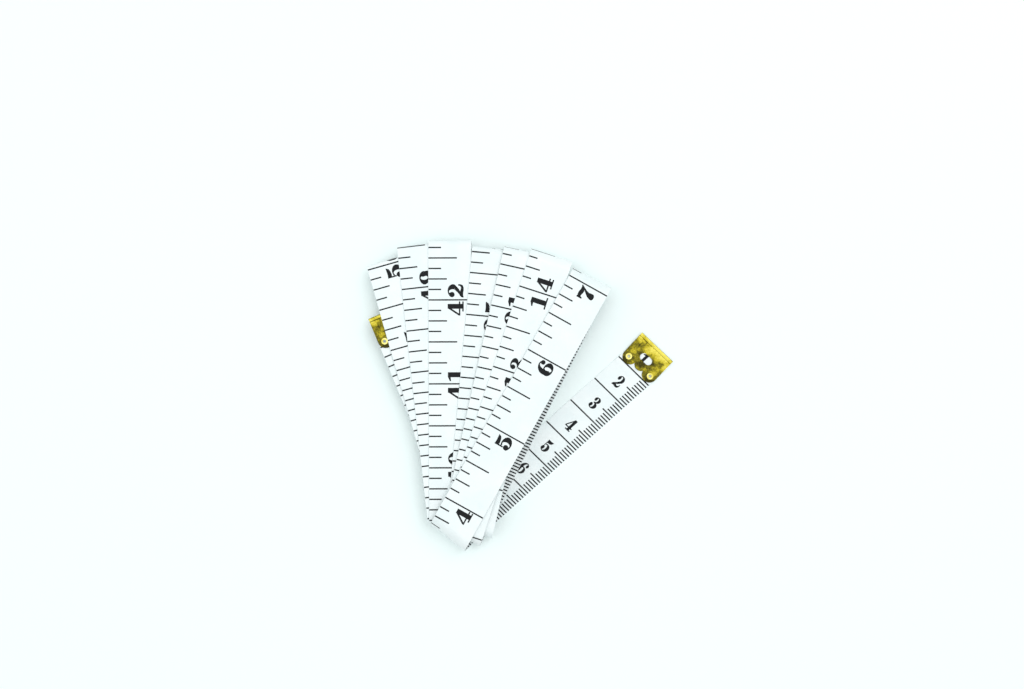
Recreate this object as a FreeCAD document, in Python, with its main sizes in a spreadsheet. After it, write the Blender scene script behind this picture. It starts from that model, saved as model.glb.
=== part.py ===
import FreeCAD, Part

# Tailor's tape measure: one printed ribbon wound into a flat coil of 18 leaves, then fanned out, with a
# folded brass clip on each end. Millimetres, +Z up. The table is Z = 0, and the origin is at the middle
# of the spread fan. An azimuth is measured clockwise from +Y, as seen from above.

import math
import os

import Sketcher

os.makedirs("parts", exist_ok=True)
doc = FreeCAD.newDocument("tape_measure")

INCH = 25.4

# Driving dimensions, in mm unless the name says otherwise.
DRIVING = {
    "tape_width": 13.0,
    "tape_thickness": 0.3,
    "tape_inches": 60,
    "level_step": 0.45,  # from one leaf of the stack to the next
    "outer_wrap_gap": 0.25,  # more than that inside the outermost turn
    "clip_gap": 0.2,  # more than that on each side of the leaf in the end clip
    "start_x": 41.98,  # the ribbon's zero mark
    "start_y": 13.85,
    "start_clip_turn": -4.65,  # degrees clockwise: the start clip sits a little askew on its leaf
    "start_clip_ahead": 0.82,  # from the leaf's end to the middle of the clip's nose, along the leaf
    "start_clip_aside": -0.6,  # the same across the leaf, to the right
    "clip_length": 10.4,
    "clip_plate": 0.19,
    "clip_slack": 0.01,  # between a plate and the ribbon
    "clip_lift": 0.2,  # how far the first leaf steps up into its clip
    "lift_run": 2.0,  # the length of that step
    "tape_end_gap": 0.4,  # from the clip's nose to the ribbon's cut end
    "window_across": 4.3,
    "window_along": 2.4,
    "window_setback": 5.2,  # from the clip's nose to the window's middle
    "lobe_radius": 2.4,
    "lobe_setback": 8.0,
    "tongue_radius": 2.0,
    "tongue_setback": 7.5,
    "eyelet_spread": 4.5,  # from the clip's middle line to an eyelet
    "eyelet_setback": 8.2,
    "eyelet_bore": 1.0,
    "eyelet_barrel": 1.3,
    "eyelet_flange": 2.0,
    "eyelet_rim": 0.08,  # the flange's thickness
    "eyelet_fit": 0.02,  # radial clearance of the barrel in its hole
}
# Each leaf's azimuth in degrees, from the first leaf to the last along the ribbon.
AZIMUTHS = (48.15, 29.2, 26.8, 18.0, 17.75, 12.6, 10.95, 12.85, 13.45,
            5.25, 8.7, -0.2, 0.05, -6.4, -8.75, -15.9, -16.8, -22.5)
# The mark in inches at the middle of each fold. Odd folds are at the pivot, even folds at the outer end.
FOLD_MARKS = (3.4725, 7.205, 10.85, 14.55, 18.19, 21.785, 25.345, 28.875, 32.375,
              35.856, 39.276, 42.746, 46.161, 49.536, 52.856, 56.061, 58.321)
LEAVES = len(AZIMUTHS)
END_LEVEL = LEAVES // 2  # the stack level of the last leaf, which has the end clip

# ---------------------------------------------------------------- spreadsheet

sheet = doc.addObject("Spreadsheet::Sheet", "Sheet")
sheet_row = 0


def cell(alias, value):
    """Adds a named plain number to the spreadsheet."""
    global sheet_row
    sheet_row += 1
    sheet.set(f"A{sheet_row}", alias)
    sheet.set(f"B{sheet_row}", repr(round(value, 6)))
    sheet.setAlias(f"B{sheet_row}", alias)


for name, number in DRIVING.items():
    cell(name, number)
for index, azimuth in enumerate(AZIMUTHS, 1):
    cell(f"leaf_azimuth_{index:02d}", azimuth)
for index, mark in enumerate(FOLD_MARKS, 1):
    cell(f"fold_mark_{index:02d}", mark)
doc.recompute()


def dim(alias):
    """The number in a cell of the spreadsheet."""
    return float(sheet.get(alias))


width = dim("tape_width")
thickness = dim("tape_thickness")

# ---------------------------------------------------------------- the ribbon's path


def outward(azimuth):
    """The unit vector from the pivot outward, at an azimuth."""
    angle = math.radians(azimuth)
    return FreeCAD.Vector(math.sin(angle), math.cos(angle), 0)


def rightward(azimuth):
    """The unit vector across a leaf, to the right of its outward direction."""
    angle = math.radians(azimuth)
    return FreeCAD.Vector(math.cos(angle), -math.sin(angle), 0)


def stack_level(leaf):
    """A leaf's place in the stack, counted up from 0. The ribbon winds from the coil's outside inward."""
    return (leaf - 1) // 2 if leaf % 2 else LEAVES - leaf // 2


def leaf_height(leaf):
    """The height of a leaf's underside."""
    level = stack_level(leaf)
    height = level * dim("level_step")
    height += dim("outer_wrap_gap") * ((level > 0) + (level == LEAVES - 1))
    height += dim("clip_gap") * ((level >= END_LEVEL) + (level > END_LEVEL))
    return height


def follow_ribbon():
    """Walks the ribbon from its zero mark. Returns each leaf's inner and outer end points, and each fold.

    A fold wraps the ribbon half way round a level axis that halves the angle between its two leaves, so
    the ribbon stays flat and unstretched, and moves a little along that axis as it goes round.
    """
    point = FreeCAD.Vector(dim("start_x"), dim("start_y"), 0)
    reached = 0.0
    leaves, folds = [], []
    for leaf in range(1, LEAVES + 1):
        azimuth = dim(f"leaf_azimuth_{leaf:02d}")
        heading = outward(azimuth) * (-1 if leaf % 2 else 1)
        arc = 0.0
        if leaf < LEAVES:
            next_heading = outward(dim(f"leaf_azimuth_{leaf + 1:02d}")) * (1 if leaf % 2 else -1)
            bulge = (heading - next_heading).normalize()
            lean = heading.dot(bulge)
            radius = abs(leaf_height(leaf + 1) - leaf_height(leaf)) / 2
            arc = math.pi * radius / lean
            leaf_end = dim(f"fold_mark_{leaf:02d}") * INCH - arc / 2
        else:
            leaf_end = dim("tape_inches") * INCH
        far = point + heading * (leaf_end - reached)
        inner, outer = (far, point) if leaf % 2 else (point, far)
        leaves.append({"azimuth": azimuth, "inner": inner, "outer": outer, "height": leaf_height(leaf)})
        if leaf < LEAVES:
            drift = (heading + next_heading) * (math.pi * radius / 2 / lean)
            folds.append({
                "middle": far + drift / 2,
                "bulge": bulge,
                "radius": radius,
                "span": width / lean,
                "height": (leaf_height(leaf) + leaf_height(leaf + 1) + thickness) / 2,
            })
            point = far + drift
            reached = leaf_end + arc
    return leaves, folds


def end_slope(fold, azimuth):
    """The rise per mm across a leaf of the line where it meets a fold."""
    along_fold = FreeCAD.Vector(-fold["bulge"].y, fold["bulge"].x, 0)
    return along_fold.dot(outward(azimuth)) / along_fold.dot(rightward(azimuth))


leaves, folds = follow_ribbon()
for index, leaf in enumerate(leaves, 1):
    before, after = folds[max(index - 2, 0)], folds[min(index, LEAVES - 1) - 1]
    inner_fold, outer_fold = (after, before) if index % 2 else (before, after)
    leaf["inner_slope"] = end_slope(inner_fold, leaf["azimuth"])
    leaf["outer_slope"] = end_slope(outer_fold, leaf["azimuth"])
    cell(f"leaf_length_{index:02d}", (leaf["outer"] - leaf["inner"]).Length)
    cell(f"inner_slope_{index:02d}", leaf["inner_slope"])
    cell(f"outer_slope_{index:02d}", leaf["outer_slope"])
for index, fold in enumerate(folds, 1):
    cell(f"fold_radius_{index:02d}", fold["radius"])
    cell(f"fold_span_{index:02d}", fold["span"])
doc.recompute()

# ---------------------------------------------------------------- helpers for bodies and sketches


def new_body(label, place, turn=0.0):
    """A body at a place, turned clockwise about Z by an azimuth."""
    body = doc.addObject("PartDesign::Body", label)
    body.Label = label
    body.Placement = FreeCAD.Placement(place, FreeCAD.Rotation(FreeCAD.Vector(0, 0, 1), -turn))
    return body


def new_sketch(body, name, role):
    """A sketch on one of the body's own origin planes."""
    sketch = body.newObject("Sketcher::SketchObject", name)
    plane = next(item for item in body.Origin.OriginFeatures if item.Role == role)
    sketch.AttachmentSupport = [(plane, "")]
    sketch.MapMode = "FlatFace"
    return sketch


def bind(sketch, kind, first, second, number, expression):
    """A signed distance between two sketch points, bound to an expression. It is zero without one."""
    if expression is None:
        axis = -1 if kind == "DistanceY" else -2
        sketch.addConstraint(Sketcher.Constraint("PointOnObject", *second, axis))
        return
    ends = (*first, *second) if number > 0 else (*second, *first)
    place = sketch.addConstraint(Sketcher.Constraint(kind, *ends, abs(number)))
    signed = expression if number > 0 else f"-({expression})"
    sketch.setExpression(f"Constraints[{place}]", signed)


def polygon(sketch, corners):
    """A closed outline. A corner is x, its expression, y and its expression."""
    points = [FreeCAD.Vector(x, y, 0) for x, _, y, _ in corners]
    first = sketch.GeometryCount
    count = len(points)
    for index, point in enumerate(points):
        sketch.addGeometry(Part.LineSegment(point, points[(index + 1) % count]), False)
    for index in range(count):
        following = first + (index + 1) % count
        sketch.addConstraint(Sketcher.Constraint("Coincident", first + index, 2, following, 1))
    for index, (x, x_expression, y, y_expression) in enumerate(corners):
        bind(sketch, "DistanceX", (-1, 1), (first + index, 1), x, x_expression)
        bind(sketch, "DistanceY", (-1, 1), (first + index, 1), y, y_expression)


def circle(sketch, x, x_expression, y, y_expression, radius, radius_expression):
    """A circle with its middle and radius bound."""
    index = sketch.addGeometry(Part.Circle(FreeCAD.Vector(x, y, 0), FreeCAD.Vector(0, 0, 1), radius), False)
    bind(sketch, "DistanceX", (-1, 1), (index, 3), x, x_expression)
    bind(sketch, "DistanceY", (-1, 1), (index, 3), y, y_expression)
    place = sketch.addConstraint(Sketcher.Constraint("Radius", index, radius))
    sketch.setExpression(f"Constraints[{place}]", radius_expression)
    return index


def pad(body, sketch, expression, symmetric=False):
    """Pads a sketch by an expression."""
    feature = body.newObject("PartDesign::Pad", "Pad")
    feature.Profile = sketch
    feature.SideType = "Symmetric" if symmetric else "One side"
    feature.setExpression("Length", expression)
    sketch.Visibility = False
    return feature


def cut_through(body, sketch):
    """Cuts a sketch right through its body, both ways."""
    doc.recompute()
    before = body.Shape.Volume
    feature = body.newObject("PartDesign::Pocket", "Pocket")
    feature.Profile = sketch
    feature.SideType = "Symmetric"
    feature.Type = "ThroughAll"
    sketch.Visibility = False
    doc.recompute()
    if body.Shape.Volume >= before:
        raise RuntimeError(f"{body.Label}: {sketch.Name} cuts nothing")


# ---------------------------------------------------------------- the ribbon

HALF_WIDTH = "Sheet.tape_width / 2"


def plain_leaf(index, leaf):
    """A flat leaf between two folds, its ends cut along the fold lines. Its own origin is at its middle."""
    label = f"tape_leaf_{index:02d}"
    middle = (leaf["inner"] + leaf["outer"]) / 2
    body = new_body(label, middle + FreeCAD.Vector(0, 0, leaf["height"]), leaf["azimuth"])
    sketch = new_sketch(body, "Outline", "XY_Plane")
    half_length = dim(f"leaf_length_{index:02d}") / 2
    corners = []
    for side, end in ((-1, "inner"), (1, "inner"), (1, "outer"), (-1, "outer")):
        way = -1 if end == "inner" else 1
        y = way * half_length + side * width / 2 * leaf[f"{end}_slope"]
        length = f"{way} * Sheet.leaf_length_{index:02d} / 2"
        slope = f"{side} * Sheet.tape_width / 2 * Sheet.{end}_slope_{index:02d}"
        x_expression = f"{side} * {HALF_WIDTH}"
        corners.append((side * width / 2, x_expression, y, f"{length} + {slope}"))
    polygon(sketch, corners)
    pad(body, sketch, "Sheet.tape_thickness")
    return body


def eyelet_holes(body, nose_y, nose_expression, askew=False):
    """The two eyelets' holes through a clip, or through the end of a leaf that a clip may sit askew on."""
    sketch = new_sketch(body, "EyeletHoles", "XY_Plane")
    radius = dim("eyelet_barrel") / 2 + dim("eyelet_fit")
    spread, setback = dim("eyelet_spread"), dim("eyelet_setback")
    for side in (-1, 1):
        x, x_expression = side * spread, f"{side} * Sheet.eyelet_spread"
        y, y_expression = nose_y - setback, f"{nose_expression} - Sheet.eyelet_setback"
        if askew:
            turn = math.radians(dim("start_clip_turn"))
            sine, cosine = "sin(Sheet.start_clip_turn)", "cos(Sheet.start_clip_turn)"
            x = side * spread * math.cos(turn) - setback * math.sin(turn) + dim("start_clip_aside")
            x_expression += f" * {cosine} - Sheet.eyelet_setback * {sine} + Sheet.start_clip_aside"
            y = nose_y + dim("start_clip_ahead") - side * spread * math.sin(turn) - setback * math.cos(turn)
            y_expression = (f"{nose_expression} + Sheet.start_clip_ahead - {side} * Sheet.eyelet_spread"
                            f" * {sine} - Sheet.eyelet_setback * {cosine}")
        circle(sketch, x, x_expression, y, y_expression,
               radius, "Sheet.eyelet_barrel / 2 + Sheet.eyelet_fit")
    cut_through(body, sketch)


def clipped_leaf(index, leaf, lift, askew):
    """A leaf that ends in a clip. It is cut square there, and steps up into the clip by lift."""
    label = f"tape_leaf_{index:02d}"
    middle = (leaf["inner"] + leaf["outer"]) / 2
    body = new_body(label, middle + FreeCAD.Vector(0, 0, leaf["height"]), leaf["azimuth"])
    half_length = dim(f"leaf_length_{index:02d}") / 2
    half = f"Sheet.leaf_length_{index:02d} / 2"
    start, start_expression = -half_length - width / 2, f"-{half} - Sheet.tape_width / 2"
    end, end_expression = half_length - dim("tape_end_gap"), f"{half} - Sheet.tape_end_gap"
    top = "Sheet.tape_thickness"
    profile = new_sketch(body, "Profile", "YZ_Plane")
    if lift:
        raised = half_length - dim("clip_length") - dim("lift_run") / 4
        raised_expression = f"{half} - Sheet.clip_length - Sheet.lift_run / 4"
        step, step_expression = raised - dim("lift_run"), f"{raised_expression} - Sheet.lift_run"
        lifted = "Sheet.clip_lift"
        polygon(profile, (
            (start, start_expression, 0, None),
            (step, step_expression, 0, None),
            (raised, raised_expression, lift, lifted),
            (end, end_expression, lift, lifted),
            (end, end_expression, lift + thickness, f"{lifted} + {top}"),
            (raised, raised_expression, lift + thickness, f"{lifted} + {top}"),
            (step, step_expression, thickness, top),
            (start, start_expression, thickness, top),
        ))
    else:
        polygon(profile, (
            (start, start_expression, 0, None),
            (end, end_expression, 0, None),
            (end, end_expression, thickness, top),
            (start, start_expression, thickness, top),
        ))
    pad(body, profile, "Sheet.tape_width", symmetric=True)

    trim = new_sketch(body, "FoldEnd", "XY_Plane")
    corners = []
    for side in (-1, 1):
        y = -half_length + side * width * leaf["inner_slope"]
        slope = f"{side} * Sheet.tape_width * Sheet.inner_slope_{index:02d}"
        corners.append((side * width, f"{side} * Sheet.tape_width", y, f"-{half} + {slope}"))
    below = -half_length - 2 * width
    for side in (1, -1):
        below_expression = f"-{half} - 2 * Sheet.tape_width"
        corners.append((side * width, f"{side} * Sheet.tape_width", below, below_expression))
    polygon(trim, corners)
    cut_through(body, trim)
    eyelet_holes(body, half_length, half, askew)
    return body


def fold(index, shape):
    """A fold: half a tube of ribbon. Its own X is the fold's axis, and it bulges along its own Y."""
    label = f"tape_fold_{index:02d}"
    turn = math.degrees(math.atan2(shape["bulge"].x, shape["bulge"].y))
    body = new_body(label, shape["middle"] + FreeCAD.Vector(0, 0, shape["height"]), turn)
    sketch = new_sketch(body, "Section", "XY_Plane")
    span = f"Sheet.fold_span_{index:02d} / 2"
    corners = []
    for side, face in ((-1, -1), (1, -1), (1, 1), (-1, 1)):
        radius = shape["radius"] + face * thickness / 2
        radius_expression = f"Sheet.fold_radius_{index:02d} + {face} * Sheet.tape_thickness / 2"
        corners.append((side * shape["span"] / 2, f"{side} * {span}", radius, radius_expression))
    polygon(sketch, corners)
    turned = body.newObject("PartDesign::Revolution", "HalfTurn")
    turned.Profile = sketch
    turned.ReferenceAxis = (sketch, ["H_Axis"])
    turned.Angle = 180
    turned.Midplane = True
    sketch.Visibility = False
    return body


# ---------------------------------------------------------------- the clips and their eyelets


def clip_place(leaf, lift, askew):
    """The middle of a clip's nose, half way up the ribbon's edge, and the clip's azimuth."""
    azimuth = leaf["azimuth"]
    nose = leaf["outer"] + FreeCAD.Vector(0, 0, leaf["height"] + lift + thickness / 2)
    if askew:
        nose += outward(azimuth) * dim("start_clip_ahead") + rightward(azimuth) * dim("start_clip_aside")
        azimuth += dim("start_clip_turn")
    return nose, azimuth


def clip(label, nose, azimuth):
    """A folded brass clip. Its own origin is at the middle of its nose, half way up the ribbon's edge."""
    body = new_body(label, nose, azimuth)

    inner = thickness / 2 + dim("clip_slack")
    outer = inner + dim("clip_plate")
    inner_expression = "Sheet.tape_thickness / 2 + Sheet.clip_slack"
    outer_expression = f"{inner_expression} + Sheet.clip_plate"
    back, back_expression = -dim("clip_length"), "-Sheet.clip_length"
    profile = new_sketch(body, "Profile", "YZ_Plane")
    level = FreeCAD.Vector(-outer, 0, 0)

    def line(y1, z1, y2, z2):
        ends = FreeCAD.Vector(y1, z1, 0), FreeCAD.Vector(y2, z2, 0)
        return profile.addGeometry(Part.LineSegment(*ends), False)

    def nose(radius):
        whole = Part.Circle(level, FreeCAD.Vector(0, 0, 1), radius)
        return profile.addGeometry(Part.ArcOfCircle(whole, -math.pi / 2, math.pi / 2), False)

    top = line(back, outer, -outer, outer)
    outside = nose(outer)
    bottom = line(-outer, -outer, back, -outer)
    lower_edge = line(back, -outer, back, -inner)
    lower_face = line(back, -inner, -outer, -inner)
    inside = nose(inner)
    upper_face = line(-outer, inner, back, inner)
    upper_edge = line(back, inner, back, outer)
    joins = (
        (top, 2, outside, 2), (outside, 1, bottom, 1), (bottom, 2, lower_edge, 1),
        (lower_edge, 2, lower_face, 1), (lower_face, 2, inside, 1), (inside, 2, upper_face, 1),
        (upper_face, 2, upper_edge, 1), (upper_edge, 2, top, 1),
    )
    for join in joins:
        profile.addConstraint(Sketcher.Constraint("Coincident", *join))
    for flat in (top, bottom, lower_face, upper_face):
        profile.addConstraint(Sketcher.Constraint("Horizontal", flat))
    for upright in (lower_edge, upper_edge):
        profile.addConstraint(Sketcher.Constraint("Vertical", upright))
    for arc, radius, expression in ((outside, outer, outer_expression), (inside, inner, inner_expression)):
        bind(profile, "DistanceX", (-1, 1), (arc, 3), -outer, f"-({outer_expression})")
        bind(profile, "DistanceY", (-1, 1), (arc, 3), 0, None)
        place = profile.addConstraint(Sketcher.Constraint("Radius", arc, radius))
        profile.setExpression(f"Constraints[{place}]", expression)
        for end in (1, 2):
            bind(profile, "DistanceX", (-1, 1), (arc, end), -outer, f"-({outer_expression})")
    for edge, end in ((lower_edge, 1), (upper_edge, 2)):
        bind(profile, "DistanceX", (-1, 1), (edge, end), back, back_expression)
    pad(body, profile, "Sheet.tape_width", symmetric=True)

    window = new_sketch(body, "Window", "XY_Plane")
    end_radius = dim("window_along") / 2
    reach = dim("window_across") / 2 - end_radius
    reach_expression = "(Sheet.window_across - Sheet.window_along) / 2"
    y, y_expression = -dim("window_setback"), "-Sheet.window_setback"
    ends = []
    for side in (-1, 1):
        whole = Part.Circle(FreeCAD.Vector(side * reach, y, 0), FreeCAD.Vector(0, 0, 1), end_radius)
        first = math.pi / 2 if side < 0 else -math.pi / 2
        ends.append(window.addGeometry(Part.ArcOfCircle(whole, first, first + math.pi), False))
        bind(window, "DistanceX", (-1, 1), (ends[-1], 3), side * reach, f"{side} * {reach_expression}")
        bind(window, "DistanceY", (-1, 1), (ends[-1], 3), y, y_expression)
        place = window.addConstraint(Sketcher.Constraint("Radius", ends[-1], end_radius))
        window.setExpression(f"Constraints[{place}]", "Sheet.window_along / 2")
    left, right = ends
    for y_side, left_end, right_end in ((1, 1, 2), (-1, 2, 1)):
        edge = y + y_side * end_radius
        rail = window.addGeometry(
            Part.LineSegment(FreeCAD.Vector(-reach, edge, 0), FreeCAD.Vector(reach, edge, 0)), False)
        window.addConstraint(Sketcher.Constraint("Coincident", rail, 1, left, left_end))
        window.addConstraint(Sketcher.Constraint("Coincident", rail, 2, right, right_end))
        for end, side in ((1, -1), (2, 1)):
            bind(window, "DistanceX", (-1, 1), (rail, end), side * reach, f"{side} * {reach_expression}")
    cut_through(body, window)

    # The back edge: two round lobes with a shorter tongue between them, cut as what is left beyond it.
    lobe = dim("lobe_radius")
    lobe_x = width / 2 - lobe
    lobe_y = -dim("lobe_setback")
    tongue = dim("tongue_radius")
    tongue_y = -dim("tongue_setback")
    apart = math.hypot(lobe_x, tongue_y - lobe_y)
    along = (apart ** 2 + tongue ** 2 - lobe ** 2) / (2 * apart)
    aside = math.sqrt(tongue ** 2 - along ** 2)
    ux, uy = lobe_x / apart, (lobe_y - tongue_y) / apart
    meet_x, meet_y = along * ux + aside * uy, tongue_y + along * uy - aside * ux
    back_edge = new_sketch(body, "BackEdge", "XY_Plane")

    def arc_between(x, y, radius, start, finish):
        whole = Part.Circle(FreeCAD.Vector(x, y, 0), FreeCAD.Vector(0, 0, 1), radius)
        angles = [math.atan2(end[1] - y, end[0] - x) for end in (start, finish)]
        if angles[1] < angles[0]:
            angles[1] += 2 * math.pi
        return back_edge.addGeometry(Part.ArcOfCircle(whole, *angles), False)

    beyond = back - width
    outline = ((-width, lobe_y), (-width, beyond), (width, beyond), (width, lobe_y))
    arcs = (
        arc_between(-lobe_x, lobe_y, lobe, (-width / 2, lobe_y), (-meet_x, meet_y)),
        arc_between(0, tongue_y, tongue, (-meet_x, meet_y), (meet_x, meet_y)),
        arc_between(lobe_x, lobe_y, lobe, (meet_x, meet_y), (width / 2, lobe_y)),
    )
    points = ((-width / 2, lobe_y), *outline, (width / 2, lobe_y))
    rails = []
    for start, finish in zip(points, points[1:]):
        segment = Part.LineSegment(FreeCAD.Vector(*start, 0), FreeCAD.Vector(*finish, 0))
        rails.append(back_edge.addGeometry(segment, False))
    for before, after in zip(rails, rails[1:]):
        back_edge.addConstraint(Sketcher.Constraint("Coincident", before, 2, after, 1))
    chain = ((rails[-1], 2, arcs[2], 2), (arcs[2], 1, arcs[1], 2), (arcs[1], 1, arcs[0], 2),
             (arcs[0], 1, rails[0], 1))
    for join in chain:
        back_edge.addConstraint(Sketcher.Constraint("Coincident", *join))
    lobe_expression = "Sheet.tape_width / 2 - Sheet.lobe_radius"
    for arc, side, radius in ((arcs[0], -1, "lobe"), (arcs[1], 0, "tongue"), (arcs[2], 1, "lobe")):
        bind(back_edge, "DistanceX", (-1, 1), (arc, 3), side * lobe_x,
             f"{side} * ({lobe_expression})" if side else None)
        bind(back_edge, "DistanceY", (-1, 1), (arc, 3), -dim(f"{radius}_setback"),
             f"-Sheet.{radius}_setback")
        place = back_edge.addConstraint(Sketcher.Constraint("Radius", arc, dim(f"{radius}_radius")))
        back_edge.setExpression(f"Constraints[{place}]", f"Sheet.{radius}_radius")
    for rail, side in ((rails[0], -1), (rails[-1], 1)):
        at = 1 if side < 0 else 2
        bind(back_edge, "DistanceY", (-1, 1), (rail, at), lobe_y, "-Sheet.lobe_setback")
        back_edge.addConstraint(Sketcher.Constraint("Horizontal", rail))
    for rail in (rails[1], rails[3]):
        back_edge.addConstraint(Sketcher.Constraint("Vertical", rail))
    for at, side in ((1, -1), (2, 1)):
        bind(back_edge, "DistanceX", (-1, 1), (rails[2], at), side * width, f"{side} * Sheet.tape_width")
        bind(back_edge, "DistanceY", (-1, 1), (rails[2], at), beyond,
             "-Sheet.clip_length - Sheet.tape_width")
    cut_through(body, back_edge)
    eyelet_holes(body, 0, "0")
    return body


def eyelet(label, nose, azimuth, side):
    """A tubular eyelet with a flange on top, flush with the clip's underside. Its own Z is its axis."""
    across = rightward(azimuth) * (side * dim("eyelet_spread"))
    body = new_body(label, nose + across - outward(azimuth) * dim("eyelet_setback"), azimuth)
    half = thickness / 2 + dim("clip_slack") + dim("clip_plate")
    half_expression = "Sheet.tape_thickness / 2 + Sheet.clip_slack + Sheet.clip_plate"
    bore, barrel, flange = dim("eyelet_bore") / 2, dim("eyelet_barrel") / 2, dim("eyelet_flange") / 2
    rim = half + dim("eyelet_rim")
    rim_expression = f"{half_expression} + Sheet.eyelet_rim"
    sketch = new_sketch(body, "Section", "XZ_Plane")
    polygon(sketch, (
        (bore, "Sheet.eyelet_bore / 2", -half, f"-({half_expression})"),
        (barrel, "Sheet.eyelet_barrel / 2", -half, f"-({half_expression})"),
        (barrel, "Sheet.eyelet_barrel / 2", half, half_expression),
        (flange, "Sheet.eyelet_flange / 2", half, half_expression),
        (flange, "Sheet.eyelet_flange / 2", rim, rim_expression),
        (bore, "Sheet.eyelet_bore / 2", rim, rim_expression),
    ))
    turned = body.newObject("PartDesign::Revolution", "Turning")
    turned.Profile = sketch
    turned.ReferenceAxis = (sketch, ["V_Axis"])
    turned.Angle = 360
    sketch.Visibility = False
    return body


# ---------------------------------------------------------------- build, check and export

clip_lift = dim("clip_lift")
bodies = [clipped_leaf(1, leaves[0], clip_lift, True)]
bodies += [plain_leaf(index, leaves[index - 1]) for index in range(2, LEAVES)]
bodies.append(clipped_leaf(LEAVES, leaves[-1], 0.0, False))
bodies += [fold(index, shape) for index, shape in enumerate(folds, 1)]
for end, leaf, lift in (("start", leaves[0], clip_lift), ("end", leaves[-1], 0.0)):
    place = clip_place(leaf, lift, end == "start")
    bodies.append(clip(f"{end}_clip", *place))
    bodies.append(eyelet(f"{end}_eyelet_left", *place, -1))
    bodies.append(eyelet(f"{end}_eyelet_right", *place, 1))
doc.recompute()

for item in doc.Objects:
    if "Invalid" in item.State or "Error" in item.State:
        raise RuntimeError(f"{item.Label}: {item.State}")
for body in bodies:
    if not body.Shape.isValid() or len(body.Shape.Solids) != 1:
        raise RuntimeError(f"{body.Label}: not one valid solid")
    body.Shape.exportStep(f"parts/{body.Label}.step")
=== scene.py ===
# Tailor's tape measure, fanned out: one white ribbon with an inch scale on one side and a centimetre scale
# on the other, and a folded brass clip on each end. Lengths here are in mm until a point is placed.

import math

import bpy
import bmesh
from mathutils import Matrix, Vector
from mathutils.geometry import delaunay_2d_cdt


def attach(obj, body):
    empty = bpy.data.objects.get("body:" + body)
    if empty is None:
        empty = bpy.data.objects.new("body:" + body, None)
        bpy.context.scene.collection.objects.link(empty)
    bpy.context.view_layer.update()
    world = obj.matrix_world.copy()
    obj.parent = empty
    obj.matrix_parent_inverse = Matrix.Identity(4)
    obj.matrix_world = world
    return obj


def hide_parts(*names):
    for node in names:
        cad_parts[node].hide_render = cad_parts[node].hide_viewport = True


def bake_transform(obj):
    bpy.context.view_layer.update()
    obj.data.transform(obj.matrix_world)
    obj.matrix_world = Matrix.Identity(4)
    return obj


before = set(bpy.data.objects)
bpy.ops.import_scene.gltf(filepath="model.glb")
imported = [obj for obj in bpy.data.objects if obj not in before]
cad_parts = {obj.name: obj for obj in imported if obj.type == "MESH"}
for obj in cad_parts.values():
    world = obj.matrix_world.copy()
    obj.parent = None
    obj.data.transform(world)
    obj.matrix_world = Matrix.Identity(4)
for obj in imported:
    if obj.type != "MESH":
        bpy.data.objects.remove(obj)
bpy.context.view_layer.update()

MM = 0.001
INCH = 25.4

# ---------------------------------------------------------------- the ribbon's path

WIDTH = 13.0
THICKNESS = 0.3
LENGTH = 60 * INCH
LEVEL_STEP = 0.45
OUTER_WRAP_GAP = 0.25
CLIP_GAP = 0.2
CLIP_LENGTH = 10.4
CLIP_LIFT = 0.2
LIFT_RUN = 2.0
TAPE_END_GAP = 0.4
START = (41.98, 13.85)  # the ribbon's zero mark
CLIP_TURN, CLIP_AHEAD, CLIP_ASIDE = -4.65, 0.82, -0.6  # how the start clip sits askew on its leaf
# Each leaf's azimuth in degrees, clockwise from +Y, and the inch mark at the middle of each fold.
AZIMUTHS = (48.15, 29.2, 26.8, 18.0, 17.75, 12.6, 10.95, 12.85, 13.45,
            5.25, 8.7, -0.2, 0.05, -6.4, -8.75, -15.9, -16.8, -22.5)
FOLD_MARKS = (3.4725, 7.205, 10.85, 14.55, 18.19, 21.785, 25.345, 28.875, 32.375,
              35.856, 39.276, 42.746, 46.161, 49.536, 52.856, 56.061, 58.321)
LEAVES = len(AZIMUTHS)


def outward(azimuth):
    angle = math.radians(azimuth)
    return Vector((math.sin(angle), math.cos(angle)))


def rightward(azimuth):
    angle = math.radians(azimuth)
    return Vector((math.cos(angle), -math.sin(angle)))


def leaf_height(leaf):
    """The height of a leaf's middle surface."""
    level = (leaf - 1) // 2 if leaf % 2 else LEAVES - leaf // 2
    height = level * LEVEL_STEP + OUTER_WRAP_GAP * ((level > 0) + (level == LEAVES - 1))
    height += CLIP_GAP * ((level >= LEAVES // 2) + (level > LEAVES // 2))
    return height + THICKNESS / 2


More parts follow.
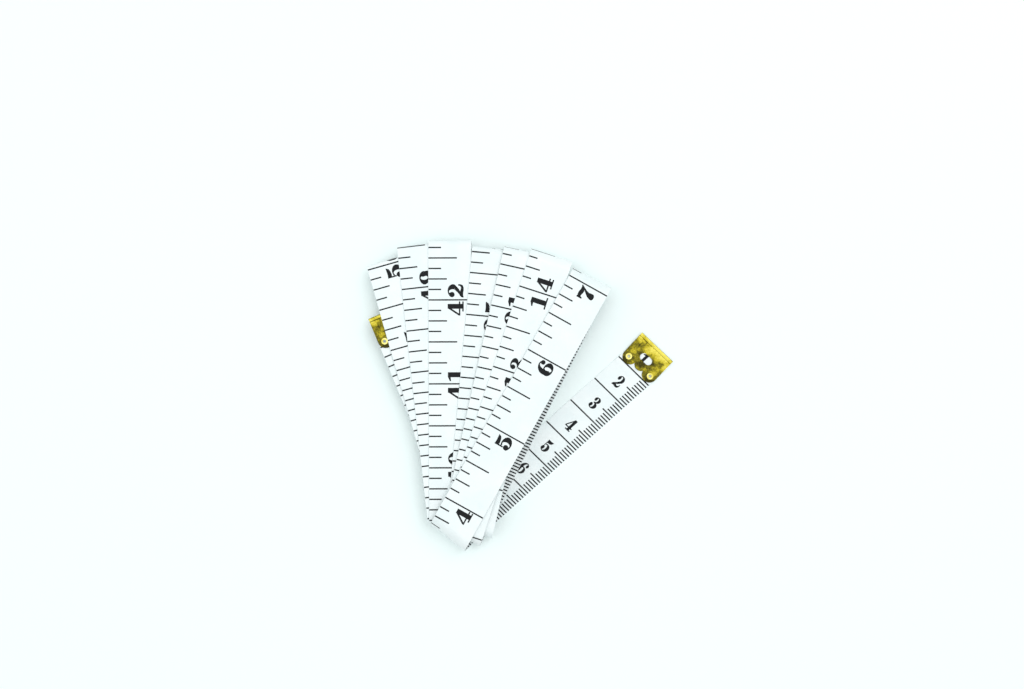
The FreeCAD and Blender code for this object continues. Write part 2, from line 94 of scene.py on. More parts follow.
def follow_ribbon():
    """Each leaf and each fold along the ribbon, from its zero mark."""
    point = Vector(START)
    reached = 0.0
    leaves, folds = [], []
    for leaf in range(1, LEAVES + 1):
        azimuth = AZIMUTHS[leaf - 1]
        heading = outward(azimuth) * (-1 if leaf % 2 else 1)
        leaves.append({"start": point, "from": reached, "heading": heading, "right": rightward(azimuth),
                       "height": leaf_height(leaf)})
        if leaf == LEAVES:
            leaves[-1]["to"] = LENGTH
            break
        next_heading = outward(AZIMUTHS[leaf]) * (1 if leaf % 2 else -1)
        bulge = (heading - next_heading).normalized()
        lean = heading.dot(bulge)
        rise = leaf_height(leaf + 1) - leaf_height(leaf)
        radius = abs(rise) / 2
        arc = math.pi * radius / lean
        leaf_end = FOLD_MARKS[leaf - 1] * INCH - arc / 2
        leaves[-1]["to"] = leaf_end
        far = point + heading * (leaf_end - reached)
        drift = (heading + next_heading) * (math.pi * radius / 2 / lean)
        along = Vector((-bulge.y, bulge.x))
        folds.append({"middle": far + drift / 2, "bulge": bulge, "along": along, "radius": radius,
                      "way": math.copysign(1, rise), "arc": arc, "from": leaf_end, "to": leaf_end + arc,
                      "height": (leaf_height(leaf) + leaf_height(leaf + 1)) / 2,
                      "slope": -rightward(azimuth).dot(bulge) / lean})
        point = far + drift
        reached = leaf_end + arc
    return leaves, folds


leaves, folds = follow_ribbon()


def lifted(s):
    """The first leaf's step up into its clip."""
    t = min(max((s - CLIP_LENGTH - LIFT_RUN / 4) / LIFT_RUN, 0), 1)
    return CLIP_LIFT * (1 - t * t * (3 - 2 * t))


def place(s, w, n):
    """The point s along the ribbon, w across it and n above its middle towards the inch side, in metres."""
    for index, leaf in enumerate(leaves):
        flat = leaf["start"] + leaf["heading"] * (s - leaf["from"]) + leaf["right"] * (w - WIDTH / 2)
        inch_up = 1 if index % 2 else -1
        if index == LEAVES - 1:
            break
        fold = folds[index]
        past = (flat - fold["middle"]).dot(fold["bulge"])
        if past <= 0:
            break
        if past < math.pi * fold["radius"]:
            turn = past / fold["radius"]
            sideways = fold["along"] * (flat - fold["middle"]).dot(fold["along"])
            out = fold["bulge"] * ((fold["radius"] + n) * math.sin(turn))
            spot = fold["middle"] + sideways + out
            height = fold["height"] - fold["way"] * (fold["radius"] + n) * math.cos(turn)
            return Vector((spot.x, spot.y, height)) * MM
    height = leaf["height"] + inch_up * n + (lifted(s) if index == 0 else 0)
    return Vector((flat.x, flat.y, height)) * MM


# ---------------------------------------------------------------- materials


def material(name):
    made = bpy.data.materials.new(name)
    made.use_nodes = True
    nodes = made.node_tree.nodes
    return made, nodes, made.node_tree.links, nodes["Principled BSDF"]


def node(nodes, kind, **values):
    made = nodes.new(kind)
    for key, value in values.items():
        if hasattr(made, key):
            setattr(made, key, value)
        else:
            made.inputs[key.replace("_", " ")].default_value = value
    return made


def ramp(nodes, links, factor, stops):
    made = nodes.new("ShaderNodeValToRGB")
    made.color_ramp.elements[0].position, made.color_ramp.elements[0].color = stops[0]
    made.color_ramp.elements[1].position, made.color_ramp.elements[1].color = stops[-1]
    for position, color in stops[1:-1]:
        made.color_ramp.elements.new(position).color = color
    links.new(factor, made.inputs["Fac"])
    return made


def grey(value):
    return (value, value, value, 1.0)


def vinyl_material():
    """White vinyl over a fine glass weave: the weave and soft waves show only in the gloss."""
    made, nodes, links, shader = material("white_vinyl")
    along = node(nodes, "ShaderNodeUVMap", uv_map="ribbon")
    cloud = node(nodes, "ShaderNodeTexNoise", Scale=0.11, Detail=3.0, Roughness=0.6)
    speck = node(nodes, "ShaderNodeTexNoise", Scale=1.9, Detail=4.0, Roughness=0.7)
    weft = node(nodes, "ShaderNodeTexWave", bands_direction="X", Scale=0.62, Distortion=0.35, Detail=1.0)
    warp = node(nodes, "ShaderNodeTexWave", bands_direction="Y", Scale=0.62, Distortion=0.35, Detail=1.0)
    for texture in (cloud, speck, weft, warp):
        links.new(along.outputs["UV"], texture.inputs["Vector"])
    tint = ramp(nodes, links, cloud.outputs["Fac"],
                [(0.3, (0.78, 0.85, 0.86, 1)), (0.7, (0.85, 0.885, 0.89, 1))])
    links.new(tint.outputs["Color"], shader.inputs["Base Color"])
    gloss = ramp(nodes, links, speck.outputs["Fac"], [(0.3, grey(0.34)), (0.75, grey(0.5))])
    links.new(gloss.outputs["Color"], shader.inputs["Roughness"])
    woven = node(nodes, "ShaderNodeMath", operation="MULTIPLY")
    links.new(weft.outputs["Fac"], woven.inputs[0])
    links.new(warp.outputs["Fac"], woven.inputs[1])
    waves = node(nodes, "ShaderNodeBump", Strength=0.25, Distance=0.0006)
    links.new(cloud.outputs["Fac"], waves.inputs["Height"])
    weave = node(nodes, "ShaderNodeBump", Strength=0.18, Distance=0.00003)
    links.new(woven.outputs["Value"], weave.inputs["Height"])
    links.new(waves.outputs["Normal"], weave.inputs["Normal"])
    links.new(weave.outputs["Normal"], shader.inputs["Normal"])
    shader.inputs["Subsurface Weight"].default_value = 0.15
    shader.inputs["Subsurface Radius"].default_value = (0.0006, 0.0006, 0.0006)
    shader.inputs["IOR"].default_value = 1.5
    return made


def ink_material():
    """Black print, a little thin in places."""
    made, nodes, links, shader = material("black_print")
    along = node(nodes, "ShaderNodeUVMap", uv_map="ribbon")
    patch = node(nodes, "ShaderNodeTexNoise", Scale=1.3, Detail=5.0, Roughness=0.7)
    links.new(along.outputs["UV"], patch.inputs["Vector"])
    tint = ramp(nodes, links, patch.outputs["Fac"], [
        (0.4, (0.004, 0.005, 0.006, 1)), (0.62, (0.010, 0.011, 0.013, 1)), (0.8, (0.035, 0.036, 0.04, 1))])
    links.new(tint.outputs["Color"], shader.inputs["Base Color"])
    gloss = ramp(nodes, links, patch.outputs["Fac"], [(0.3, grey(0.5)), (0.7, grey(0.7))])
    links.new(gloss.outputs["Color"], shader.inputs["Roughness"])
    shader.inputs["Specular IOR Level"].default_value = 0.18
    return made


def brass_material():
    """Bright brass, tarnished olive in patches, with fine scratches and a crease behind the nose."""
    made, nodes, links, shader = material("brass")
    spot = node(nodes, "ShaderNodeUVMap", uv_map="clip")
    patch = node(nodes, "ShaderNodeTexNoise", Scale=0.24, Detail=4.0, Roughness=0.62)
    grain = node(nodes, "ShaderNodeTexNoise", Scale=2.6, Detail=4.0, Roughness=0.7)
    scratch = node(nodes, "ShaderNodeTexNoise", Scale=9.0, Detail=3.0, Roughness=0.6)
    for texture in (patch, grain, scratch):
        links.new(spot.outputs["UV"], texture.inputs["Vector"])
    apart = node(nodes, "ShaderNodeSeparateXYZ")
    links.new(spot.outputs["UV"], apart.inputs["Vector"])

    def from_nose(near, far, at_near, at_far):
        """A value that changes with the distance from the clip's nose, in mm."""
        scaled = node(nodes, "ShaderNodeMapRange")
        for name, value in (("From Min", near), ("From Max", far), ("To Min", at_near), ("To Max", at_far)):
            scaled.inputs[name].default_value = value
        links.new(apart.outputs["Y"], scaled.inputs["Value"])
        return scaled.outputs["Result"]

    # The crease is a little over 1 mm behind the nose.
    groove = ramp(nodes, links, from_nose(0.0, 4.0, 0.0, 1.0), [
        (0.0, grey(1.0)), (0.25, grey(1.0)), (0.29, grey(0.0)), (0.33, grey(0.75)), (1.0, grey(1.0))])
    speckled = node(nodes, "ShaderNodeMath", operation="MULTIPLY_ADD")
    speckled.inputs[1].default_value = 0.35
    links.new(grain.outputs["Fac"], speckled.inputs[0])
    links.new(patch.outputs["Fac"], speckled.inputs[2])
    # The tarnish is thickest round the window and the nose stays clean; the colour is also darker in the
    # crease.
    windowed = node(nodes, "ShaderNodeMath", operation="ADD")
    links.new(speckled.outputs["Value"], windowed.inputs[0])
    links.new(from_nose(1.6, 5.2, 0.0, 0.25), windowed.inputs[1])
    # The groove darkens the colour in the crease as well as shaping it as a bump.
    tarnish_and_crease = node(nodes, "ShaderNodeMath", operation="MULTIPLY_ADD")
    tarnish_and_crease.inputs[1].default_value = -0.16
    links.new(groove.outputs["Color"], tarnish_and_crease.inputs[0])
    links.new(windowed.outputs["Value"], tarnish_and_crease.inputs[2])
    tint = ramp(nodes, links, tarnish_and_crease.outputs["Value"], [
        (0.5, (0.56, 0.48, 0.08, 1)), (0.63, (0.38, 0.31, 0.020, 1)), (0.70, (0.17, 0.145, 0.014, 1)),
        (0.80, (0.05, 0.043, 0.010, 1))])
    links.new(tint.outputs["Color"], shader.inputs["Base Color"])
    shader.inputs["Metallic"].default_value = 1.0
    gloss = ramp(nodes, links, tarnish_and_crease.outputs["Value"], [(0.55, grey(0.24)), (0.8, grey(0.5))])
    links.new(gloss.outputs["Color"], shader.inputs["Roughness"])
    relief = None
    for height, strength, distance in ((groove.outputs["Color"], 0.9, 0.0001),
                                       (patch.outputs["Fac"], 0.5, 0.00012),
                                       (scratch.outputs["Fac"], 0.3, 0.00002)):
        bump = node(nodes, "ShaderNodeBump", Strength=strength, Distance=distance)
        links.new(height, bump.inputs["Height"])
        if relief:
            links.new(relief.outputs["Normal"], bump.inputs["Normal"])
        relief = bump
    links.new(relief.outputs["Normal"], shader.inputs["Normal"])
    return made


def bright_brass_material():
    """The eyelets' pale brass, brighter than the clip's: partly clean metal and partly a painted highlight,
    so their rims show as bright rings.
    """
    made, nodes, links, shader = material("bright_brass")
    spot = node(nodes, "ShaderNodeTexCoord")
    cloud = node(nodes, "ShaderNodeTexNoise", Scale=900.0, Detail=3.0)
    links.new(spot.outputs["Object"], cloud.inputs["Vector"])
    # The paler colour is partly a painted highlight on the eyelet rims, as well as cleaner metal.
    tint = ramp(nodes, links, cloud.outputs["Fac"],
                [(0.35, (0.52, 0.44, 0.07, 1)), (0.65, (0.74, 0.66, 0.22, 1))])
    links.new(tint.outputs["Color"], shader.inputs["Base Color"])
    shader.inputs["Metallic"].default_value = 1.0
    shader.inputs["Roughness"].default_value = 0.2
    return made


def floor_material():
    made, nodes, links, shader = material("pale_floor")
    spot = node(nodes, "ShaderNodeTexCoord")
    cloud = node(nodes, "ShaderNodeTexNoise", Scale=6.0, Detail=2.0)
    links.new(spot.outputs["Object"], cloud.inputs["Vector"])
    tint = ramp(nodes, links, cloud.outputs["Fac"],
                [(0.3, (0.86, 0.935, 0.93, 1)), (0.7, (0.87, 0.945, 0.94, 1))])
    links.new(tint.outputs["Color"], shader.inputs["Base Color"])
    shader.inputs["Roughness"].default_value = 0.8
    return made


VINYL, INK = vinyl_material(), ink_material()
BRASS, EYELET_CLEAN_BRASS_AND_HIGHLIGHT = brass_material(), bright_brass_material()

# ---------------------------------------------------------------- meshes


def add_piece(name, points, faces, places, finish, smooth):
    """A closed mesh from points in metres. places are each point's own (s, w), kept as its UV."""
    mesh = bpy.data.meshes.new(name)
    mesh.from_pydata(points, [], faces)
    layer = mesh.uv_layers.new(name="ribbon")
    for loop in mesh.loops:
        layer.data[loop.index].uv = places[loop.vertex_index]
    mesh.materials.append(finish)
    if smooth:
        mesh.shade_smooth()
    work = bmesh.new()
    work.from_mesh(mesh)
    bmesh.ops.recalc_face_normals(work, faces=work.faces)
    work.to_mesh(mesh)
    work.free()
    made = bpy.data.objects.new(name, mesh)
    bpy.context.scene.collection.objects.link(made)
    return made


EDGE = 0.05  # the ribbon's edges are eased by this much
SETTLE = 2.5  # a slanted section straightens over this length beside its fold
LIFT_STEPS = 8  # sections along the step into the clip
WIDE_FOLD_STEPS, TIGHT_FOLD_STEPS = 40, 24  # sections round a fold
WIDE_FOLD = 1.0  # a fold of more than this radius is wide
UNDERSIDE_SHIFT = 20  # moves the weave of the centimetre side away from the inch side's
SHARP_ANGLE = math.radians(40)
HALF = THICKNESS / 2
SECTION = ((0.0, -HALF + EDGE), (EDGE, -HALF), (WIDTH - EDGE, -HALF), (WIDTH, -HALF + EDGE),
           (WIDTH, HALF - EDGE), (WIDTH - EDGE, HALF), (EDGE, HALF), (0.0, HALF - EDGE))


def stations(piece):
    """Where a piece's cross-sections are: a place along the ribbon, and how they slant to suit its fold."""
    before, after = leaves[piece - 1], leaves[piece]
    fold = folds[piece - 1]
    first = TAPE_END_GAP if piece == 1 else (before["from"] + before["to"]) / 2
    last = LENGTH - TAPE_END_GAP if piece == len(folds) else (after["from"] + after["to"]) / 2
    found = [(first, 0.0)]
    if piece == 1:
        ease = CLIP_LENGTH + LIFT_RUN / 4
        found += [(ease + LIFT_RUN * step / LIFT_STEPS, 0.0) for step in range(LIFT_STEPS + 1)]
    reach = abs(fold["slope"]) * WIDTH / 2
    found.append((fold["from"] - reach - SETTLE, 0.0))
    steps = WIDE_FOLD_STEPS if fold["radius"] > WIDE_FOLD else TIGHT_FOLD_STEPS
    found += [(fold["from"] + fold["arc"] * step / steps, fold["slope"]) for step in range(steps + 1)]
    found.append((fold["to"] + reach + SETTLE, 0.0))
    found.append((last, 0.0))
    return found


def ribbon_piece(piece):
    rows = stations(piece)
    points, places, faces = [], [], []
    count = len(SECTION)
    for s, slope in rows:
        for w, n in SECTION:
            at = s + slope * (w - WIDTH / 2)
            points.append(place(at, w, n))
            places.append((at, w + (UNDERSIDE_SHIFT if n < 0 else 0)))
    for row in range(len(rows) - 1):
        for corner in range(count):
            following = (corner + 1) % count
            faces.append((row * count + corner, row * count + following,
                          (row + 1) * count + following, (row + 1) * count + corner))
    faces.append(tuple(range(count)))
    faces.append(tuple(range(len(points) - count, len(points))))
    made = add_piece(f"ribbon_{piece:02d}", points, faces, places, VINYL, True)
    made.data.set_sharp_from_angle(angle=SHARP_ANGLE)
    return made


# ---------------------------------------------------------------- numerals


ARC_STEP = 15  # degrees between the points of a curved stroke


def arc_band(x, y, rx, ry, inner_x, inner_rx, inner_ry, first, last):
    """A crescent between an outer and an inner ellipse, from one angle to another."""
    steps = max(3, round(abs(last - first) / ARC_STEP))
    angles = [math.radians(first + (last - first) * step / steps) for step in range(steps + 1)]
    outer = [(x + rx * math.cos(a), y + ry * math.sin(a)) for a in angles]
    inner = [(inner_x + inner_rx * math.cos(a), y + inner_ry * math.sin(a)) for a in reversed(angles)]
    return outer + inner, None


def oval(x, y, rx, ry, hole_rx=0.0, hole_ry=0.0, steps=28):
    angles = [math.tau * step / steps for step in range(steps)]
    outer = [(x + rx * math.cos(a), y + ry * math.sin(a)) for a in angles]
    hole = [(x + hole_rx * math.cos(a), y + hole_ry * math.sin(a)) for a in angles] if hole_rx else None
    return outer, hole


def ball(x, y, radius):
    return oval(x, y, radius, radius, steps=16)


def shape(*corners):
    return list(corners), None


def bar(x0, y0, x1, y1):
    return shape((x0, y0), (x1, y0), (x1, y1), (x0, y1))


def turned_over(shapes, middle):
    """The same shapes turned half round."""
    return [([(2 * middle - x, 1 - y) for x, y in outer],
             hole and [(2 * middle - x, 1 - y) for x, y in hole]) for outer, hole in shapes]


SIX = [
    oval(0.45, 0.31, 0.43, 0.31, 0.13, 0.225),
    arc_band(0.53, 0.5, 0.51, 0.5, 0.55, 0.21, 0.42, 75, 225),
    ball(0.71, 0.79, 0.145),
    arc_band(0.56, 0.62, 0.29, 0.38, 0.56, 0.22, 0.30, 25, 95),
]
# A fat-faced figure is a list of shapes, each an outline and the hole in it, one unit high.
FIGURES = {
    "0": [oval(0.44, 0.5, 0.44, 0.5, 0.135, 0.42)],
    "1": [bar(0.28, 0.03, 0.60, 1.0), bar(0.06, 0.0, 0.82, 0.09),
          shape((0.31, 1.0), (0.04, 0.88), (0.04, 0.80), (0.31, 0.83))],
    "2": [ball(0.20, 0.73, 0.17), arc_band(0.44, 0.67, 0.42, 0.33, 0.39, 0.145, 0.25, -22, 165),
          shape((0.83, 0.55), (0.52, 0.57), (0.34, 0.38), (0.02, 0.12), (0.02, 0.04), (0.22, 0.15),
                (0.54, 0.29)),
          shape((0.02, 0.0), (0.02, 0.12), (0.13, 0.24), (0.26, 0.28), (0.42, 0.22), (0.56, 0.17),
                (0.66, 0.17), (0.74, 0.22), (0.77, 0.34), (0.86, 0.34), (0.845, 0.16), (0.77, 0.04),
                (0.64, 0.0), (0.46, 0.0), (0.30, 0.03), (0.14, 0.03))],
    "3": [ball(0.22, 0.78, 0.15), ball(0.20, 0.25, 0.17),
          arc_band(0.42, 0.755, 0.38, 0.245, 0.37, 0.13, 0.165, -92, 150),
          arc_band(0.42, 0.275, 0.44, 0.275, 0.36, 0.155, 0.19, -160, 92),
          bar(0.26, 0.47, 0.44, 0.56)],
    "4": [bar(0.43, 0.03, 0.74, 1.0), bar(0.26, 0.0, 0.89, 0.09), bar(0.0, 0.21, 0.90, 0.30),
          shape((0.60, 1.0), (0.47, 1.0), (0.0, 0.31), (0.0, 0.21), (0.10, 0.21), (0.13, 0.30))],
    "5": [ball(0.20, 0.26, 0.17), arc_band(0.42, 0.33, 0.44, 0.33, 0.36, 0.155, 0.245, -160, 128),
          bar(0.11, 0.44, 0.20, 0.98),
          shape((0.11, 1.0), (0.11, 0.75), (0.30, 0.72), (0.52, 0.75), (0.68, 0.82), (0.78, 1.0),
                (0.70, 1.0), (0.45, 0.98), (0.28, 0.98))],
    "6": SIX,
    "7": [shape((0.03, 0.65), (0.115, 0.65), (0.15, 0.75), (0.22, 0.78), (0.36, 0.73), (0.56, 0.71),
                (0.70, 0.76), (0.87, 0.94), (0.87, 1.0), (0.81, 1.0), (0.74, 0.97), (0.58, 0.96),
                (0.42, 1.0), (0.24, 1.0), (0.13, 0.97), (0.115, 1.0), (0.03, 1.0)),
          shape((0.87, 0.97), (0.74, 0.84), (0.50, 0.62), (0.31, 0.40), (0.23, 0.20), (0.24, 0.06),
                (0.35, 0.0), (0.51, 0.0), (0.62, 0.08), (0.63, 0.20), (0.60, 0.38), (0.65, 0.58),
                (0.76, 0.78))],
    "8": [oval(0.44, 0.755, 0.37, 0.245, 0.13, 0.165), oval(0.44, 0.275, 0.44, 0.275, 0.14, 0.19)],
    "9": turned_over(SIX, 0.45),
}
FIGURE_WIDTH = 0.9


def within(point, outline):
    """Whether a point is inside an outline."""
    x, y = point
    inside = False
    for (x0, y0), (x1, y1) in zip(outline, outline[1:] + outline[:1]):
        if (y0 > y) != (y1 > y) and x < x0 + (y - y0) * (x1 - x0) / (y1 - y0):
            inside = not inside
    return inside


def inked(point, shapes):
    return any(within(point, outer) and not (hole and within(point, hole)) for outer, hole in shapes)


def flat_figure(shapes, spacing_x=0.0, spacing_y=0.0):
    """Triangles that fill the shapes, joined as one. spacing adds inner points, for a figure that bends."""
    points, edges = [], []
    for outline in [line for pair in shapes for line in pair if line]:
        first = len(points)
        points += [Vector(point) for point in outline]
        edges += [(first + i, first + (i + 1) % len(outline)) for i in range(len(outline))]
    if spacing_x:
        for row in range(1, int(1 / spacing_y)):
            for column in range(1, int(FIGURE_WIDTH / spacing_x)):
                spot = (column * spacing_x, row * spacing_y)
                if inked(spot, shapes):
                    points.append(Vector(spot))
    found = delaunay_2d_cdt(points, edges, [], 0, 1e-5)
    corners, triangles = found[0], found[2]
    kept = [t for t in triangles if inked(sum((corners[i] for i in t), Vector((0, 0))) / len(t), shapes)]
    used = sorted({i for t in kept for i in t})
    number = {old: new for new, old in enumerate(used)}
    return [tuple(corners[i]) for i in used], [tuple(number[i] for i in t) for t in kept]


FLAT_FIGURES = {key: flat_figure(shapes) for key, shapes in FIGURES.items()}

# ---------------------------------------------------------------- the print

PRINT_TOP = 0.010  # how far the print stands out of the ribbon
PRINT_SINK = 0.012  # and how deep it goes in
EDGE_MARGIN = 0.06  # the lines stop this far from the ribbon's edge
BENT_LINE_STEP = 1.5  # a line on a fold is made in stretches of about this length
BEND_SAG = 0.004  # a numeral on a fold strays from the curve by no more than about this


class Print:
    """The print of one piece of ribbon, gathered as closed thin shapes."""

    def __init__(self):
        self.points, self.faces, self.places = [], [], []

    def add(self, corners, triangles, side):
        """Adds a flat shape. corners are (s, w) and side is 1 on the inch side and -1 on the other."""
        first = len(self.points)
        count = len(corners)
        for depth in (PRINT_TOP, -PRINT_SINK):
            for s, w in corners:
                self.points.append(place(s, w, side * (HALF + depth)))
                self.places.append((s, w))
        uses = {}
        for face in triangles:
            self.faces.append(tuple(first + i for i in face))
            self.faces.append(tuple(first + count + i for i in reversed(face)))
            for pair in zip(face, face[1:] + face[:1]):
                if pair[::-1] in uses:
                    del uses[pair[::-1]]
                else:
                    uses[pair] = True
        for a, b in uses:
            self.faces.append((first + b, first + a, first + count + a, first + count + b))


def bends(first, last):
    """The fold that a stretch of ribbon goes round, if any."""
    for fold in folds:
        reach = abs(fold["slope"]) * WIDTH / 2
        if last > fold["from"] - reach and first < fold["to"] + reach:
            return fold
    return None


def add_line(printed, s, thick, w0, w1, side, slant=0.0):
    """A straight tick across the ribbon, or askew by slant mm for each mm across."""
    w0, w1 = max(w0, EDGE_MARGIN), min(w1, WIDTH - EDGE_MARGIN)
    rows, columns = 1, 1
    if bends(s - thick, s + thick):
        rows, columns = 3, max(1, round((w1 - w0) / BENT_LINE_STEP))
    corners = []
    for i in range(rows + 1):
        for j in range(columns + 1):
            w = w0 + (w1 - w0) * j / columns
            corners.append((s - thick / 2 + thick * i / rows + slant * (w - WIDTH / 2), w))
    step = columns + 1
    faces = [(i * step + j, (i + 1) * step + j, (i + 1) * step + j + 1, i * step + j + 1)
             for i in range(rows) for j in range(columns)]
    printed.add(corners, faces, side)


def add_figure(printed, key, turn, side, extent):
    """A numeral. turn maps a point of the unit figure to (s, w).

    extent is its first and last place along the ribbon, its width and its height.
    """
    first, last, wide, tall = extent
    fold = bends(first, last)
    if fold:
        spacing = math.sqrt(8 * BEND_SAG * fold["radius"])
        corners, faces = flat_figure(FIGURES[key], spacing / wide, spacing / tall)
    else:
        corners, faces = FLAT_FIGURES[key]
    printed.add([turn(x, y) for x, y in corners], faces, side)


DRIFT_MIDDLE, DRIFT_SWING = -0.6, -0.6  # the inch print wanders across the ribbon by this much
DRIFT_PEAK, DRIFT_PERIOD = 15, 56  # and is furthest over at this inch, in a wave this many inches long


def sideways_drift(s):
    """How far the inch print has wandered across the ribbon."""
    return DRIFT_MIDDLE + DRIFT_SWING * math.cos(math.tau * (s / INCH - DRIFT_PEAK) / DRIFT_PERIOD)


EIGHTHS = 8 * round(LENGTH / INCH)
END_MARGIN = 1.0  # the inch lines stay this far from the ribbon's two ends
CM_UNDER_CLIP = 1.0  # the centimetre lines start this far under the start clip, and stop at the end clip
INCH_LINE = 0.42
HALF_INCH_REACH, QUARTER_INCH_REACH, EIGHTH_INCH_REACH = 8.7, 5.65, 3.9
INCH_FIGURE = (4.3, 4.85)  # along and across the ribbon
INCH_FIGURE_TOP = 5.85
ONE_FIGURE_BEFORE = 2.45  # the middle of a lone figure is this far before its line
TWO_FIGURES_BEFORE, TWO_FIGURES_AFTER = 2.6, 2.8  # and two figures are on either side of it
CM_LINE = 0.43
HALF_CM_REACH, MILLIMETRE_REACH = 4.25, 3.1
CM_FIGURE = (2.6, 4.2)  # across and along the ribbon
CM_FIGURE_GAP = 0.15
CM_FIGURE_MIDDLE = 5.95
CM_FIGURE_BEFORE = 4.5  # the middle of a number is this far before its line
CM_SLANT = -0.065  # the centimetre print is a little askew on the ribbon, by this much for each mm across
CM_SHIFT = -0.35  # and moved along the ribbon by this much, which is towards the zero mark

prints = [Print() for _ in folds]
seams = [leaf["from"] / 2 + leaf["to"] / 2 for leaf in leaves[1:-1]]


def print_at(s):
    """The print of the piece of ribbon that s is on."""
    return prints[sum(s > seam for seam in seams)]


def inch_figure(key, middle):
    """A numeral on the inch side. Its top is towards the tick edge, and it reads along the ribbon."""
    wide, tall = INCH_FIGURE
    left = middle - wide / 2
    top = INCH_FIGURE_TOP + sideways_drift(middle)

    def turn(x, y):
        return left + x / FIGURE_WIDTH * wide, top + (1 - y) * tall

    add_figure(print_at(middle), key, turn, 1, (left, left + wide, wide / FIGURE_WIDTH, tall))


def cm_figure(key, middle, across):
    """A numeral on the centimetre side. It stands across the ribbon, with its top towards the zero mark."""
    wide, tall = CM_FIGURE
    base = middle + tall / 2

    def turn(x, y):
        w = across + (x / FIGURE_WIDTH - 0.5) * wide
        return base - y * tall + CM_SLANT * (w - WIDTH / 2), w

    add_figure(print_at(middle), key, turn, -1, (base - tall, base, wide / FIGURE_WIDTH, tall))


def inch_line_reach(eighth):
    """How far across the ribbon a line of the inch scale goes."""
    if eighth % 8 == 0:
        return WIDTH
    if eighth % 4 == 0:
        reach = HALF_INCH_REACH
    else:
        reach = QUARTER_INCH_REACH if eighth % 2 == 0 else EIGHTH_INCH_REACH
    return reach + sideways_drift(eighth * INCH / 8)


def cm_line_reach(millimetre):
    return WIDTH if millimetre % 10 == 0 else HALF_CM_REACH if millimetre % 5 == 0 else MILLIMETRE_REACH


for eighth in range(1, EIGHTHS):
    s = eighth * INCH / 8
    if s < TAPE_END_GAP + END_MARGIN or s > LENGTH - TAPE_END_GAP - END_MARGIN:
        continue
    add_line(print_at(s), s, INCH_LINE, 0.0, inch_line_reach(eighth), 1)
    if eighth % 8 == 0:
        number = str(eighth // 8)
        if len(number) == 1:
            inch_figure(number, s - ONE_FIGURE_BEFORE)
        else:
            inch_figure(number[0], s - TWO_FIGURES_BEFORE)
            inch_figure(number[1], s + TWO_FIGURES_AFTER)

for millimetre in range(1, int(LENGTH)):
    s = millimetre + CM_SHIFT
    if CLIP_LENGTH - CM_UNDER_CLIP < s < LENGTH - CLIP_LENGTH:
        add_line(print_at(s), s, CM_LINE, WIDTH - cm_line_reach(millimetre), WIDTH, -1, CM_SLANT)
    if millimetre % 10 == 0:
        number = str(millimetre // 10)
        pitch = CM_FIGURE[0] + CM_FIGURE_GAP
        for place_in_number, key in enumerate(number):
            across = CM_FIGURE_MIDDLE + (place_in_number - (len(number) - 1) / 2) * pitch
            cm_figure(key, s - CM_FIGURE_BEFORE, across)

# ---------------------------------------------------------------- the ribbon's pieces on their bodies


def body_of_leaf(leaf):
    return "start_leaf" if leaf == 1 else "end_leaf" if leaf == LEAVES else f"pair_{leaf // 2}"


EYELET_SPREAD, EYELET_SETBACK = 4.5, 8.2  # from the clip's middle line, and from its nose
EYELET_HOLE_RADIUS = 0.67
PUNCH_DEPTH = 2.0


def eyelet_spots(leaf):
    """The two eyelets' places in the clip on the end of a leaf, as (s, w)."""
    if leaf == LEAVES:
        return [(LENGTH - EYELET_SETBACK, WIDTH / 2 + side * EYELET_SPREAD) for side in (-1, 1)]
    along, across = outward(CLIP_TURN), rightward(CLIP_TURN)
    nose = Vector((WIDTH / 2 + CLIP_ASIDE, CLIP_AHEAD))
    spots = [nose + across * (side * EYELET_SPREAD) - along * EYELET_SETBACK for side in (-1, 1)]
    return [(-spot.y, spot.x) for spot in spots]


def punch(obj, leaf):
    """Cuts the eyelets' holes through the ribbon."""
    work = bmesh.new()
    radius = EYELET_HOLE_RADIUS * MM
    for s, w in eyelet_spots(leaf):
        ring = bmesh.ops.create_cone(work, cap_ends=True, segments=32, radius1=radius, radius2=radius,
                                     depth=PUNCH_DEPTH * MM)
        bmesh.ops.translate(work, verts=ring["verts"], vec=place(s, w, 0))
    mesh = bpy.data.meshes.new("punch")
    work.to_mesh(mesh)
    work.free()
    cutter = bpy.data.objects.new("punch", mesh)
    bpy.context.scene.collection.objects.link(cutter)
    cut = obj.modifiers.new("holes", "BOOLEAN")
    cut.operation, cut.solver, cut.object = "DIFFERENCE", "EXACT", cutter
    bpy.context.view_layer.update()
    result = bpy.data.meshes.new_from_object(obj.evaluated_get(bpy.context.evaluated_depsgraph_get()))
    obj.modifiers.clear()
    obj.data = result
    bpy.data.objects.remove(cutter)


for piece, fold in enumerate(folds, 1):
    ribbon = ribbon_piece(piece)
    if piece == 1:
        punch(ribbon, 1)
    if piece == len(folds):
        punch(ribbon, LEAVES)
    gathered = prints[piece - 1]
    ink = add_piece(f"print_{piece:02d}", gathered.points, gathered.faces, gathered.places, INK, False)
    lower, upper = body_of_leaf(piece), body_of_leaf(piece + 1)
    if lower == upper:
        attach(ribbon, lower)
        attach(ink, lower)
        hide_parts(f"tape_leaf_{piece:02d}", f"tape_fold_{piece:02d}", f"tape_leaf_{piece + 1:02d}")
    else:
        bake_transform(ribbon)
        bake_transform(ink)
        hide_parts(f"tape_fold_{piece:02d}")
        if piece == 1:
            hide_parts("tape_leaf_01")
        if piece == len(folds):
            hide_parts(f"tape_leaf_{LEAVES}")
    rows = stations(piece)


def clip_nose(end):
    """The middle of a clip's nose, and the clip's azimuth."""
    if end == "end":
        last = leaves[-1]
        return last["start"] + last["heading"] * (LENGTH - last["from"]), AZIMUTHS[-1]
    first = AZIMUTHS[0]
    nose = Vector(START) + outward(first) * CLIP_AHEAD + rightward(first) * CLIP_ASIDE
    return nose, first + CLIP_TURN


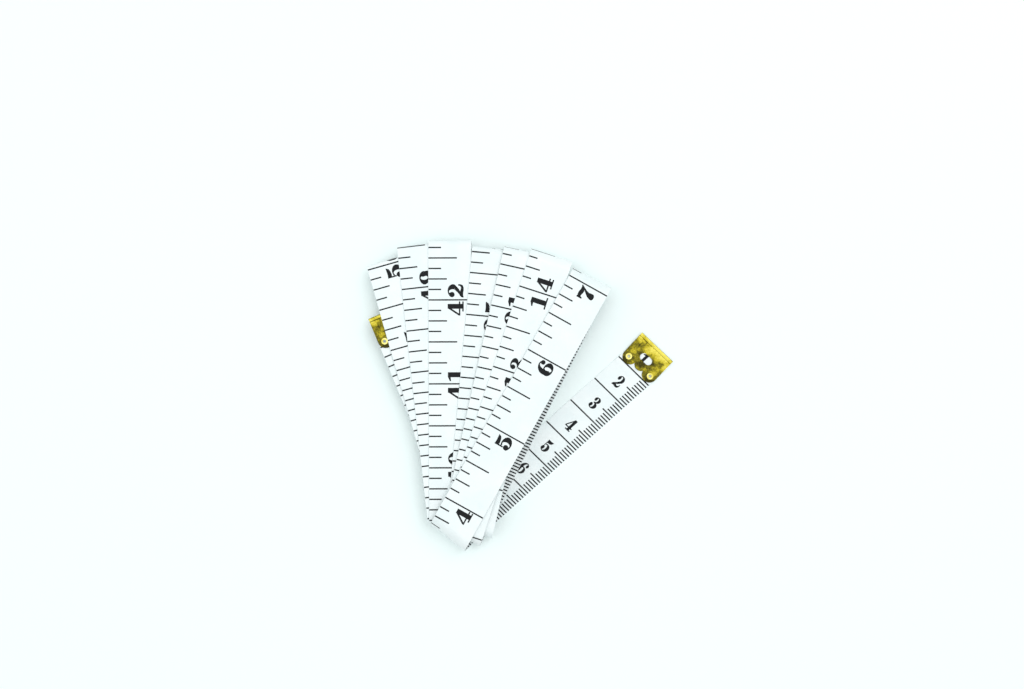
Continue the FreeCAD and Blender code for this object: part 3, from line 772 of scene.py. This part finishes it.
for name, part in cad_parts.items():
    if "clip" in name or "eyelet" in name:
        part.data.materials.clear()
        # The eyelets get the paler brass, whose brightness is partly a painted highlight.
        part.data.materials.append(BRASS if "clip" in name else EYELET_CLEAN_BRASS_AND_HIGHLIGHT)
        nose, azimuth = clip_nose(name.split("_")[0])
        layer = part.data.uv_layers.new(name="clip")
        for loop in part.data.loops:
            spot = (part.matrix_world @ part.data.vertices[loop.vertex_index].co).xy / MM - nose
            layer.data[loop.index].uv = (spot.dot(rightward(azimuth)), -spot.dot(outward(azimuth)))

# ---------------------------------------------------------------- floor, light and camera

FLOOR_HALF = 1.6
floor_mesh = bpy.data.meshes.new("floor")
floor_corners = [(x * FLOOR_HALF, y * FLOOR_HALF, 0.0) for x, y in ((-1, -1), (1, -1), (1, 1), (-1, 1))]
floor_mesh.from_pydata(floor_corners, [], [(0, 1, 2, 3)])
floor_mesh.materials.append(floor_material())
floor = bpy.data.objects.new("floor", floor_mesh)
bpy.context.scene.collection.objects.link(floor)


def area_light(name, spot, size, power):
    """A square white light that faces the origin."""
    data = bpy.data.lights.new(name, "AREA")
    data.shape = "SQUARE"
    data.size, data.energy = size, power
    made = bpy.data.objects.new(name, data)
    made.location = spot
    made.rotation_euler = (-Vector(spot)).to_track_quat("-Z", "Y").to_euler()
    bpy.context.scene.collection.objects.link(made)


area_light("key_light", (0.4, 0.5, 0.9), 0.7, 3.4)
area_light("fill_light", (-0.6, -0.2, 0.9), 0.9, 1.8)
area_light("top_light", (0.05, 0.05, 1.3), 1.1, 3.8)

SKY_COLOR = (0.94, 1.0, 1.0, 1)
SKY_STRENGTH = 0.67
world = bpy.data.worlds.new("world")
world.use_nodes = True
sky = world.node_tree.nodes["Background"]
sky.inputs["Color"].default_value = SKY_COLOR
sky.inputs["Strength"].default_value = SKY_STRENGTH
bpy.context.scene.world = world
bpy.context.scene.view_settings.view_transform = "Standard"

CAMERA_SPOT = (-0.00283, 0.01561)  # the middle of the view, on the table
CAMERA_HEIGHT = 0.27
SENSOR_WIDTH, FOCAL_LENGTH = 36.0, 30.64
NEAREST_SEEN = 0.01
lens = bpy.data.cameras.new("camera")
lens.sensor_width = SENSOR_WIDTH
lens.lens = FOCAL_LENGTH
lens.clip_start = NEAREST_SEEN
camera = bpy.data.objects.new("camera", lens)
camera.location = (*CAMERA_SPOT, CAMERA_HEIGHT)
bpy.context.scene.collection.objects.link(camera)
bpy.context.scene.camera = camera
